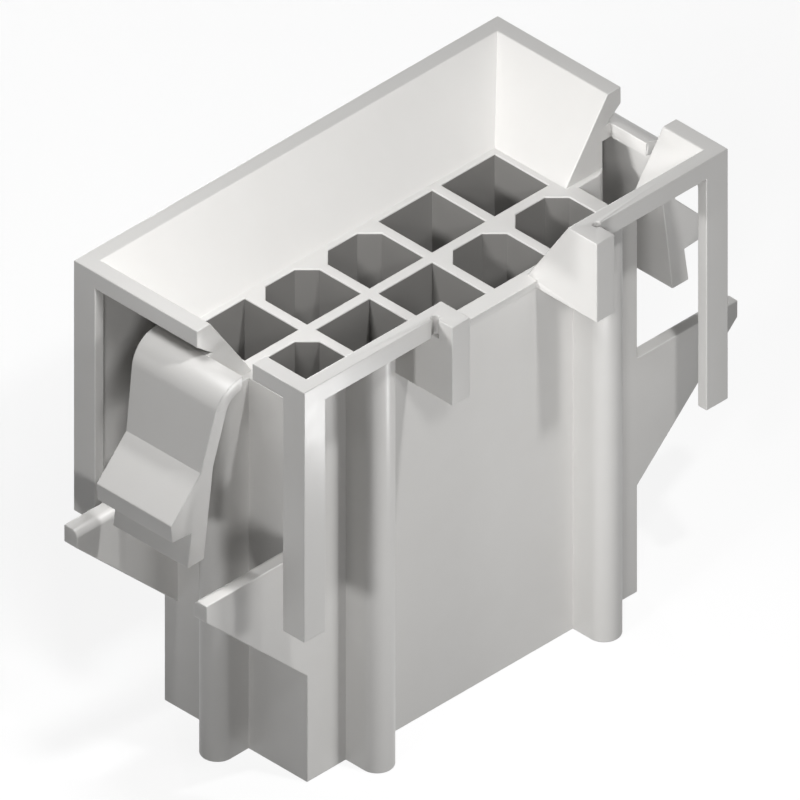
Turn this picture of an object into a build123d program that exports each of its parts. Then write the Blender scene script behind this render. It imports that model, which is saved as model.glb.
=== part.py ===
from build123d import *

import os
from math import atan2, cos, degrees, radians, tan

# Ten-way receptacle housing with a funnel shroud, made to snap into a panel.
#
# One nylon moulding. A block of two rows of five mating cells stands in the middle. A funnel
# opens above it to a rectangular rim, which four corner posts carry on downwards, with a skirt
# wall between the two at the back. Round-nosed ribs stand on the block's sides. At each end a
# spring arm with a hook hangs under the rim, and two thin gussets stand out below it, so that
# the edge of a panel is held between hook and gussets.
#
# Millimetres, +Z up, X along the rows, the side with the latch gap faces -Y. The origin is the
# middle of the wire-entry face, on the wall between the two rows.

# Circuits: two rows of five square cells, some with two corners cut as a key
columns = 5
rows = 2
pitch = 4.2
cell = 3.62
cell_corner_cut = 0.83
keyed_cells = {0: (0, 3, 4), 1: (1, 2)}

# Block that holds the circuits
edge_wall = 0.89
body_height = 21.6
mating_depth = 10.5
passage = 2.9
wire_entry = 3.3
wire_entry_depth = 1.2
shoulder_width = 3.2
shoulder_run = 0.6

# Funnel and rim above the block
rim_length = 28.5
rim_depth = 15.5
rim_wall = 0.9
rim_bar = 0.95
front_wall = 0.77
front_bar = 1.1
funnel_depth = 4.1
funnel_ledge = 0.33
web_root = 0.6

# Corner posts and the skirt at the back
post_leg = 1.45
post_wall = 0.6
post_length = 14.55

# Gap in the rim for the mating latch, the guards beside it and the lip under it
latch_gap = 8.5
guard_wall = 1.2
guard_reach = 1.17
guard_height = 4.57
corner_relief = 0.22
lip_height = 0.65
lip_reach = 0.14

# Slots in the end walls of the funnel, above one side of each arm
slot_width = 3.7
slot_offset = 0.55

# Round-nosed ribs on the block
rib_wall = 1.74
rib_reach = 2.1
rib_spacing = 15.26

# Gussets that the panel rests on
gusset_wall = 0.9
gusset_reach = 6.75
gusset_top = 13.6
gusset_tip = 0.96
gusset_slope = 43.7
gusset_round = 0.4

# Spring arms, as distances out from the rim's end face and heights
arm_width = 5.04
arm_crown_width = 5.9
arm_wall = 0.83
arm_crown = 23.95
arm_crown_radius = 1.75
arm_lean = 11.6
knee_out = 1.71
knee_height = 19.27
arm_root_top = 1.55
arm_root_foot = 2.1
slot_to_crown = 0.7

# Hook and tail of each arm
hook_out = 3.72
hook_top = 17.17
hook_face = 1.0
hook_undercut = 1.3
hook_rake = 0.1
panel_gap = 2.47
tail_below_hook = 1.9
tail_wall = 1.1
tail_splay = 0.27

# Worked out from the sizes above
block_length = (columns - 1) * pitch + cell + 2 * edge_wall
block_depth = (rows - 1) * pitch + cell + 2 * edge_wall
mouth_length = (columns - 1) * pitch + cell + 2 * funnel_ledge
mouth_depth = (rows - 1) * pitch + cell + 2 * funnel_ledge
rim_top = body_height + funnel_depth
bar_foot = rim_top - rim_bar
post_foot = rim_top - post_length
mating_floor = body_height - mating_depth


def column_place(index):
    return (index - (columns - 1) / 2) * pitch


def row_place(index):
    return (index - (rows - 1) / 2) * pitch


def box_between(low, high):
    """A box given by two opposite corners."""
    size = [abs(b - a) for a, b in zip(low, high)]
    middle = [(a + b) / 2 for a, b in zip(low, high)]
    return Pos(*middle) * Box(*size)


def tapered(top_size, top_height, low_size, low_height):
    """A block that narrows evenly between two upright rectangles."""
    top_face = Plane.XY.offset(top_height) * Rectangle(*top_size)
    low_face = Plane.XY.offset(low_height) * Rectangle(*low_size)
    return loft([low_face.face(), top_face.face()])


def four_corners(piece):
    """The piece and its copies mirrored across both middle planes."""
    pair = piece + mirror(piece, about=Plane.YZ)
    return pair + mirror(pair, about=Plane.XZ)


def both_ends(piece):
    return piece + mirror(piece, about=Plane.YZ)


def shell_blank():
    """Block, funnel web and rim, still without their hollows."""
    web_foot = body_height + web_root
    block = box_between(
        (-block_length / 2, -block_depth / 2, 0),
        (block_length / 2, block_depth / 2, web_foot),
    )
    web = tapered((rim_length, rim_depth), bar_foot, (block_length, block_depth), web_foot)
    rim = box_between(
        (-rim_length / 2, -rim_depth / 2, bar_foot),
        (rim_length / 2, rim_depth / 2, rim_top),
    )
    front_rail = box_between(
        (-rim_length / 2, -rim_depth / 2, rim_top - front_bar),
        (rim_length / 2, -rim_depth / 2 + front_wall, rim_top),
    )
    return block + web + rim + front_rail


def funnel_hollow():
    """The lead-in, from the rim's inner edge to the ledge round the cells."""
    inner_length = rim_length - 2 * rim_wall
    inner_depth = rim_depth - rim_wall - front_wall
    inner_middle = (front_wall - rim_wall) / 2
    brim = Pos(0, inner_middle, rim_top) * Rectangle(inner_length, inner_depth)
    mouth = Pos(0, 0, body_height) * Rectangle(mouth_length, mouth_depth)
    return loft([mouth.face(), brim.face()])


def corner_posts():
    """Angle-section legs under the rim's corners."""
    outer_x = rim_length / 2
    outer_y = rim_depth / 2
    end_leg = box_between(
        (outer_x - post_wall, outer_y - post_leg, post_foot), (outer_x, outer_y, bar_foot)
    )
    side_leg = box_between(
        (outer_x - post_leg, outer_y - post_wall, post_foot), (outer_x, outer_y, bar_foot)
    )
    return four_corners(end_leg + side_leg)


def back_skirt():
    return box_between(
        (-rim_length / 2, rim_depth / 2 - post_wall, post_foot),
        (rim_length / 2, rim_depth / 2, bar_foot),
    )


def rib(reach_from):
    """One rib with a round nose, standing out along +X from reach_from."""
    nose = rib_wall / 2
    nose_place = reach_from + rib_reach - nose
    bar = Pos((nose_place + reach_from - nose) / 2, 0) * Rectangle(
        nose_place - reach_from + nose, rib_wall
    )
    section = bar + Pos(nose_place, 0) * Circle(nose)
    return extrude(section, bar_foot)


def ribs():
    """One rib at each end and two on each long side."""
    end_ribs = both_ends(rib(block_length / 2))
    side_rib = Rot(0, 0, 90) * rib(block_depth / 2)
    return end_ribs + four_corners(Pos(rib_spacing / 2, 0, 0) * side_rib)


def guard():
    """A guard beside the latch gap, from the block's wall out past the rim."""
    front = -rim_depth / 2 - guard_reach
    return box_between(
        (latch_gap / 2, front, rim_top - guard_height),
        (latch_gap / 2 + guard_wall, -block_depth / 2 + edge_wall / 2, rim_top),
    )


def guard_relief():
    """The round relief in the corner between a guard and the rim's front bar."""
    place = Pos(latch_gap / 2 + guard_wall, -rim_depth / 2, rim_top - front_bar / 2)
    return place * Cylinder(corner_relief, front_bar)


def latch_lip():
    """The low lip on the block's front wall that the mating latch rides over."""
    wall = block_depth / 2
    inside = wall - edge_wall / 2
    foot = body_height - lip_height
    sweep = 2 * degrees(atan2(lip_reach, lip_height))
    radius = lip_reach / (1 - cos(radians(sweep)))
    with BuildLine() as outline:
        top = Line((inside, body_height), (wall + lip_reach, body_height))
        cove = CenterArc((wall + radius, foot), radius, 180 - sweep, sweep)
        Polyline(cove @ 1, (inside, foot), top @ 0)
    section = Plane.YZ.offset(-latch_gap / 2) * make_face(outline.line)
    return mirror(extrude(section, latch_gap), about=Plane.XZ)


def latch_opening():
    """What the gap in the rim takes out of the rim and the web."""
    return box_between(
        (-latch_gap / 2, -rim_depth, body_height),
        (latch_gap / 2, -mouth_depth / 2, rim_top + rim_bar),
    )


def end_slot(inner, outer):
    """A slot through the end wall at +X, between two distances from the middle."""
    return box_between(
        (inner, -slot_offset - slot_width, body_height),
        (outer, -slot_offset, rim_top + rim_bar),
    )


def gusset_pair():
    """Two thin brackets at +X, flush with the block's long sides."""
    wall = block_length / 2
    tip = wall + gusset_reach
    root = wall - edge_wall / 2
    tip_foot = gusset_top - gusset_tip
    root_foot = tip_foot - (tip - root) * tan(radians(gusset_slope))
    outline = Polyline(
        (root, gusset_top), (tip, gusset_top), (tip, tip_foot), (root, root_foot), close=True
    )
    side = Plane.XZ.offset(-block_depth / 2) * make_face(outline)
    bracket = extrude(side, gusset_wall)
    inner_edge = bracket.edges().filter_by(Axis.X).group_by(Axis.Z)[-1].sort_by(Axis.Y)[0]
    bracket = fillet(inner_edge, gusset_round)
    return bracket + mirror(bracket, about=Plane.XZ)


def spring_arm():
    """One arm at +X: crown, leaning leg, hook for the panel's edge and a short tail."""
    face = rim_length / 2
    lean = tan(radians(arm_lean))
    crown_corner = knee_out - (arm_crown - knee_height) * lean
    inner_crown = arm_crown - arm_wall
    inner_knee = knee_out - arm_wall * (1 + lean * lean) ** 0.5
    inner_corner = inner_knee - (inner_crown - knee_height) * lean
    catch_height = gusset_top + panel_gap
    catch_out = hook_out - hook_rake - hook_undercut
    tail_out = catch_out + tail_splay
    tail_foot = catch_height - tail_below_hook
    points = [
        (-arm_root_top, arm_crown),
        (crown_corner, arm_crown),
        (knee_out, knee_height),
        (hook_out, hook_top),
        (hook_out - hook_rake, hook_top - hook_face),
        (catch_out, catch_height),
        (tail_out, tail_foot),
        (tail_out - tail_wall, tail_foot),
        (inner_knee, knee_height),
        (inner_corner, inner_crown),
        (-arm_root_foot, inner_crown),
    ]
    outline = Polyline(*[(face + out, height) for out, height in points], close=True)
    side = make_face(outline)
    crown = side.vertices().sort_by_distance((face + crown_corner, arm_crown))[0]
    side = fillet(crown, arm_crown_radius)
    inside = side.vertices().sort_by_distance((face + inner_corner, inner_crown))[0]
    side = fillet(inside, arm_crown_radius - arm_wall)
    arm = extrude(Plane.XZ * side, arm_crown_width / 2, both=True)
    narrow = arm_width / 2
    wide = arm_crown_width / 2
    front = Polyline(
        (narrow, tail_foot), (narrow, knee_height), (wide, arm_crown),
        (-wide, arm_crown), (-narrow, knee_height), (-narrow, tail_foot), close=True,
    )
    return arm & extrude(Plane.YZ * make_face(front), rim_length)


def cell_section(column, row):
    """A mating cell's outline, with its two +Y corners cut where it is keyed."""
    section = Rectangle(cell, cell)
    if column in keyed_cells.get(row, ()):
        section = chamfer(section.vertices().group_by(Axis.Y)[-1], cell_corner_cut)
    return section


def cell_hollow(column, row):
    """Mating cell, shoulder, terminal passage and wire entry, right through the block."""
    mating = extrude(Plane.XY.offset(mating_floor) * cell_section(column, row), mating_depth)
    shoulder = tapered(
        (shoulder_width, shoulder_width), mating_floor, (passage, passage), mating_floor - shoulder_run
    )
    through = Pos(0, 0, mating_floor / 2) * Box(passage, passage, mating_floor)
    entry = Pos(0, 0, wire_entry_depth / 2) * Box(wire_entry, wire_entry, wire_entry_depth)
    return mating + shoulder + through + entry


housing = shell_blank() + ribs() + both_ends(guard())
housing -= funnel_hollow()
housing -= latch_opening() + both_ends(guard_relief())
slot_outer = rim_length / 2 + rim_wall
housing -= both_ends(end_slot(mouth_length / 2, slot_outer))
housing += corner_posts() + back_skirt() + latch_lip()
housing += both_ends(gusset_pair()) + both_ends(spring_arm())
housing -= both_ends(end_slot(mouth_length / 2, rim_length / 2 - slot_to_crown))

for row in range(rows):
    for column in range(columns):
        housing -= Pos(column_place(column), row_place(row), 0) * cell_hollow(column, row)

housing.label = "housing"
os.makedirs("parts", exist_ok=True)
export_step(housing, "parts/housing.step")
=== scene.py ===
from math import radians

import bmesh
import bpy
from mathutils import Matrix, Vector


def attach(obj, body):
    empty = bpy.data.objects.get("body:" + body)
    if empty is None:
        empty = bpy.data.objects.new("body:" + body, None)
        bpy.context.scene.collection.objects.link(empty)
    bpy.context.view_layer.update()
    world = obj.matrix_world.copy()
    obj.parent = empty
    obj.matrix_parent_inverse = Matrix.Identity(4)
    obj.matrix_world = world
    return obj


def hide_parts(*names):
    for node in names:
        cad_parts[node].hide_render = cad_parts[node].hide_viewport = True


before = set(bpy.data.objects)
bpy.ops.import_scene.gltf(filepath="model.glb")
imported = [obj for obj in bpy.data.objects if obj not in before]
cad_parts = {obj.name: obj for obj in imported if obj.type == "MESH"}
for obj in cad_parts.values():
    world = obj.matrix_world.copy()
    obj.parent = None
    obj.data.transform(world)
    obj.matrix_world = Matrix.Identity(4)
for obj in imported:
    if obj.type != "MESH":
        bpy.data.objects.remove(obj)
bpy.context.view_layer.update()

MM = 0.001

# Housing
# One moulding of uncoloured nylon, shot in a steel tool. The tool leaves every corner very
# slightly rounded, walls that are not quite flat, and a skin that is finely matt.

corner_round = 0.055 * MM
round_steps = 2
corner_angle = radians(28)
crease_angle = radians(20)
same_point = 0.0002 * MM
flat_wall_weight = 80

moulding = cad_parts["housing"].copy()
moulding.data = moulding.data.copy()
moulding.name = "housing_moulding"
moulding.data.name = "housing_moulding"
bpy.context.scene.collection.objects.link(moulding)

shape = bmesh.new()
shape.from_mesh(moulding.data)
bmesh.ops.remove_doubles(shape, verts=shape.verts, dist=same_point)
corners = [
    edge for edge in shape.edges
    if edge.is_manifold and edge.is_convex and edge.calc_face_angle() > corner_angle
]
bmesh.ops.bevel(
    shape, geom=corners, affect="EDGES", offset_type="OFFSET", offset=corner_round,
    segments=round_steps, profile=0.5, material=-1, clamp_overlap=False,
)
for face in shape.faces:
    face.smooth = True
for edge in shape.edges:
    if edge.is_manifold and not edge.is_convex and edge.calc_face_angle() > crease_angle:
        edge.smooth = False
shape.to_mesh(moulding.data)
shape.free()

flat_walls = moulding.modifiers.new("flat walls stay flat", "WEIGHTED_NORMAL")
flat_walls.mode = "FACE_AREA"
flat_walls.weight = flat_wall_weight
flat_walls.keep_sharp = True


class Value:
    """A socket whose maths is written as Python expressions."""

    def __init__(self, owner, socket):
        self.owner = owner
        self.socket = socket

    def maths(self, operation, first, second):
        node = self.owner.node_tree.nodes.new("ShaderNodeMath")
        node.operation = operation
        for index, term in enumerate((first, second)):
            if isinstance(term, Value):
                self.owner.node_tree.links.new(term.socket, node.inputs[index])
            else:
                node.inputs[index].default_value = term
        return Value(self.owner, node.outputs[0])

    def __add__(self, other):
        return self.maths("ADD", self, other)

    def __radd__(self, other):
        return self.maths("ADD", other, self)

    def __mul__(self, other):
        return self.maths("MULTIPLY", self, other)

    def __rmul__(self, other):
        return self.maths("MULTIPLY", other, self)

    def __lt__(self, other):
        return self.maths("LESS_THAN", self, other)

    def __gt__(self, other):
        return self.maths("GREATER_THAN", self, other)

    def __abs__(self):
        return self.maths("ABSOLUTE", self, 0)


def socket_called(sockets, name):
    """The socket with this identifier. An underscore in the name may stand for a space."""
    return next(
        socket for socket in sockets
        if socket.identifier in (name, name.replace("_", " "))
    )


def add_node(owner, kind, settings=None, **sockets):
    """A node with its settings made first, and its sockets given a value or a link."""
    node = owner.node_tree.nodes.new(kind)
    for name, value in (settings or {}).items():
        setattr(node, name, value)
    for name, value in sockets.items():
        socket = socket_called(node.inputs, name)
        if isinstance(value, Value):
            owner.node_tree.links.new(value.socket, socket)
        else:
            socket.default_value = value
    return node


def output(owner, node, name):
    return Value(owner, socket_called(node.outputs, name))


def new_material(name):
    material = bpy.data.materials.new(name)
    material.use_nodes = True
    material.node_tree.nodes.clear()
    return material


nylon_pale = (0.612, 0.605, 0.592, 1)
nylon_warm = (0.572, 0.562, 0.546, 1)
# The dark colour of the painted shade inside the cells.
cell_painted_shade = (0.205, 0.200, 0.192, 1)
satin = 0.30
satin_spread = 0.14
flow_size = 5.5 * MM
bloom_size = 1.4 * MM
grain_size = 0.11 * MM
flow_share = 0.7

nylon = new_material("uncoloured nylon")
here = output(nylon, add_node(nylon, "ShaderNodeTexCoord"), "Object")


def mottle(size, detail=3.0):
    """Soft uneven patches, about as wide as the size in metres."""
    noise = add_node(nylon, "ShaderNodeTexNoise", Vector=here, Scale=1 / size, Detail=detail)
    return output(nylon, noise, "Fac")


def mixed_colour(share, first, second):
    """The first colour, with this share of the second."""
    mix = add_node(
        nylon, "ShaderNodeMix", {"data_type": "RGBA"},
        Factor_Float=share, A_Color=first, B_Color=second,
    )
    return output(nylon, mix, "Result_Color")


flow = mottle(flow_size)
bloom = mottle(bloom_size)
grain = mottle(grain_size, detail=2.0)
skin_colour = mixed_colour(
    flow * flow_share + bloom * (1 - flow_share), nylon_pale, nylon_warm
)

# Painted shade: the ten cells are deep and narrow, and inside them the colour is painted dark
# to stand in for the shade in these hollows.
cell_pitch = 4.2 * MM
cell_width = 3.62 * MM
cells_per_row = 5
rows_of_cells = 2
into_wall = 0.29 * MM
cells_foot = 0.1 * MM
cells_top = 21.52 * MM


def half_extent(cells):
    """Half the length of a line of cells, and a little of the wall round them."""
    return ((cells - 1) * cell_pitch + cell_width) / 2 + into_wall


axes = add_node(nylon, "ShaderNodeSeparateXYZ", Vector=here)
along, across, height = (output(nylon, axes, name) for name in "XYZ")
# Where the painted shade goes: inside the cells, below the top of the block.
painted_shade_in_cells = (
    (abs(along) < half_extent(cells_per_row)) * (abs(across) < half_extent(rows_of_cells))
    * (height < cells_top) * (height > cells_foot)
)

waviness = add_node(
    nylon, "ShaderNodeBump", Strength=0.25, Distance=0.05 * MM, Height=flow
)
skin = add_node(
    nylon, "ShaderNodeBump", Strength=0.18, Distance=0.012 * MM, Height=grain,
    Normal=output(nylon, waviness, "Normal"),
)
surface = add_node(
    nylon, "ShaderNodeBsdfPrincipled",
    # The skin colour, with painted shade inside the cells.
    Base_Color=mixed_colour(painted_shade_in_cells, skin_colour, cell_painted_shade),
    Roughness=satin + satin_spread * bloom,
    IOR=1.53,
    Normal=output(nylon, skin, "Normal"),
)
add_node(nylon, "ShaderNodeOutputMaterial", Surface=output(nylon, surface, "BSDF"))

moulding.data.materials.clear()
moulding.data.materials.append(nylon)
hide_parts("housing")
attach(moulding, "root")

# Table
# A plain sheet of white paper that the housing stands on. It shows as almost even white with
# the housing's soft shadow still on it, and throws little light back up.

table_half = 1.5
paper_white = 0.88
paper_tone = 0.8
paper_shade = 0.12

paper = new_material("white paper")


def rays_that_see(owner):
    """One for rays that show a thing straight, reflected or through glass, and else zero."""
    rays = add_node(owner, "ShaderNodeLightPath")
    return (
        output(owner, rays, "Is Camera Ray") + output(owner, rays, "Is Glossy Ray")
        + output(owner, rays, "Is Transmission Ray")
    )


seen_paper = rays_that_see(paper)
matt = add_node(
    paper, "ShaderNodeBsdfDiffuse",
    Color=seen_paper * (paper_tone - paper_shade) + paper_shade,
)
white = add_node(paper, "ShaderNodeEmission", Color=(1, 1, 1, 1), Strength=1.0)
mixed = add_node(
    paper, "ShaderNodeMixShader", Fac=seen_paper * paper_white,
    Shader=output(paper, matt, "BSDF"), Shader_001=output(paper, white, "Emission"),
)
add_node(paper, "ShaderNodeOutputMaterial", Surface=output(paper, mixed, "Shader"))

sheet = bmesh.new()
bmesh.ops.create_grid(sheet, x_segments=1, y_segments=1, size=table_half)
table = bpy.data.objects.new("table", bpy.data.meshes.new("table"))
sheet.to_mesh(table.data)
sheet.free()
table.data.materials.append(paper)
bpy.context.scene.collection.objects.link(table)

# Light
# Seven small round lamps, all as bright near as far: three above the left end and the middle, a
# further one high in front, two level with the housing and one behind it.

lamp_radius = 2 * MM
lamps = {
    "high front lamp": ((-17, -28, 42), 8.7),
    "high left lamp": ((-17, 2, 34), 28.5),
    "high middle lamp": ((-5, -8, 34), 6.4),
    "far front lamp": ((2.4, -35.5, 79), 20.2),
    "level left lamp": ((-36, -14, 14.6), 11.5),
    "level front lamp": ((-2, -19, 13), 12.9),
    "back lamp": ((45, 80, 30), 11),
}

for name, (where, power) in lamps.items():
    lamp_data = bpy.data.lights.new(name, "POINT")
    lamp_data.shadow_soft_size = lamp_radius
    lamp_data.energy = power
    lamp_data.use_nodes = True
    evenness = add_node(lamp_data, "ShaderNodeLightFalloff", Strength=1.0)
    lamp_data.node_tree.links.new(
        evenness.outputs["Constant"], lamp_data.node_tree.nodes["Emission"].inputs["Strength"]
    )
    lamp = bpy.data.objects.new(name, lamp_data)
    lamp.location = Vector(where) * MM
    lamp.visible_camera = False
    bpy.context.scene.collection.objects.link(lamp)

# Surround
# The room round the table, almost dark, so that the lamps alone shape the housing. Where it is
# looked at it is white.

surround_light = 0.02

world = bpy.data.worlds.new("white surround")
bpy.context.scene.world = world
world.use_nodes = True
background = world.node_tree.nodes["Background"]
background.inputs["Color"].default_value = (1, 1, 1, 1)
strength = rays_that_see(world) * (1 - surround_light) + surround_light
world.node_tree.links.new(strength.socket, background.inputs["Strength"])

# Camera
# Parallel projection with the three edges of a cube equally short, as in an isometric drawing.
# It looks down on the corner between the left end and the side with the latch gap.

camera_distance = 0.25
nearest_seen = 0.001
furthest_seen = 10
frame_width = 38.02 * MM
aim_right = -0.04 * MM
aim_up = 11.69 * MM
image_right = Vector((1, -1, 0)).normalized()
image_up = Vector((1, 1, 2)).normalized()
view_direction = Vector((1, 1, -1)).normalized()

camera_data = bpy.data.cameras.new("camera")
camera_data.type = "ORTHO"
camera_data.ortho_scale = frame_width
camera_data.clip_start = nearest_seen
camera_data.clip_end = furthest_seen
camera = bpy.data.objects.new("camera", camera_data)
looked_at = image_right * aim_right + image_up * aim_up
camera.location = looked_at - view_direction * camera_distance
camera.rotation_euler = (looked_at - camera.location).to_track_quat("-Z", "Y").to_euler()
bpy.context.scene.collection.objects.link(camera)
bpy.context.scene.camera = camera
bpy.context.scene.view_settings.view_transform = "Standard"
